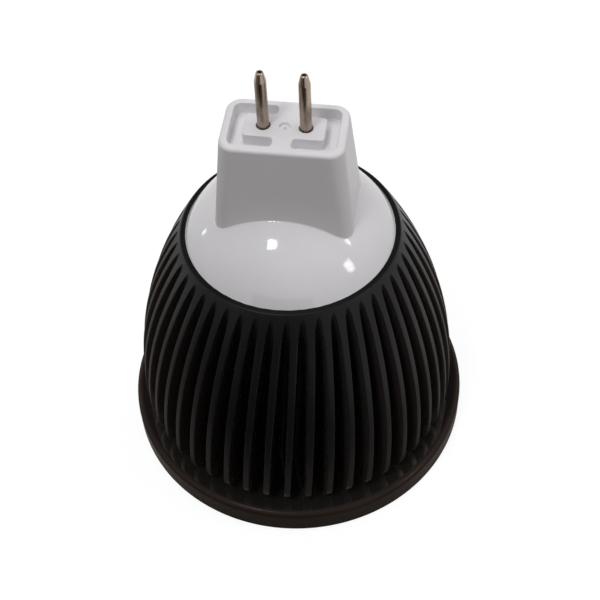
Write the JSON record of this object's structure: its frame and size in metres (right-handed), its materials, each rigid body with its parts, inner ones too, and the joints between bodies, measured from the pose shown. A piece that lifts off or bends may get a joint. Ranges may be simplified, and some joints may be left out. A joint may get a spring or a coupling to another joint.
{
  "type": "led spotlight bulb",
  "caption": "Reflector-size LED spotlight bulb: black finned heat sink with a glossy front ring, clear lens, white domed base block and bare contact pins.",
  "frame": {"origin": "centre of the front ring's rest plane, on the bulb's axis", "axes": "+Z along the bulb's axis from the lens to the pins, +X through the two pins, +Y completes the right hand"},
  "size_m": [0.0504, 0.0504, 0.0652],
  "materials": {
    "anodised_aluminium": "satin black anodised",
    "gloss_black_ring": "gloss",
    "white_plastic": "gloss moulded",
    "nickel_plate": "plated",
    "clear_acrylic": "clear polished",
    "spring_steel": "blackened",
    "board_white": "white solder mask",
    "led_ceramic": "matt",
    "led_silicone": "gloss",
    "thermal_silicone": "matt",
    "screw_steel": "zinc plated",
    "sleeve_plastic": "matt",
    "board_green": "solder mask",
    "can_sleeve": "shrink film",
    "ferrite": "matt",
    "copper_wire": "enamelled",
    "chip_black": "moulded",
    "lead_red": "insulated wire",
    "lead_black": "insulated wire",
    "lead_white": "insulated wire"
  },
  "bodies": {
    "root": {"heat_sink": "anodised_aluminium", "front_ring": "gloss_black_ring", "lens": "clear_acrylic", "lens_clip": "spring_steel", "led_board": "board_white", "thermal_pad": "thermal_silicone", "led_package": "led_ceramic", "led_dome": "led_silicone", "board_screws": "screw_steel", "base_housing": "white_plastic", "pin_left": "nickel_plate", "pin_right": "nickel_plate", "insulating_sleeve": "sleeve_plastic", "driver_board": "board_green", "input_capacitor": "can_sleeve", "output_capacitor": "can_sleeve", "inductor_core": "ferrite", "inductor_winding": "copper_wire", "driver_chip": "chip_black", "sense_resistors": "chip_black", "bridge_diodes": "chip_black", "led_lead_left": "lead_black", "led_lead_right": "lead_red", "pin_lead_left": "lead_white", "pin_lead_right": "lead_white"}
  },
  "joints": []
}
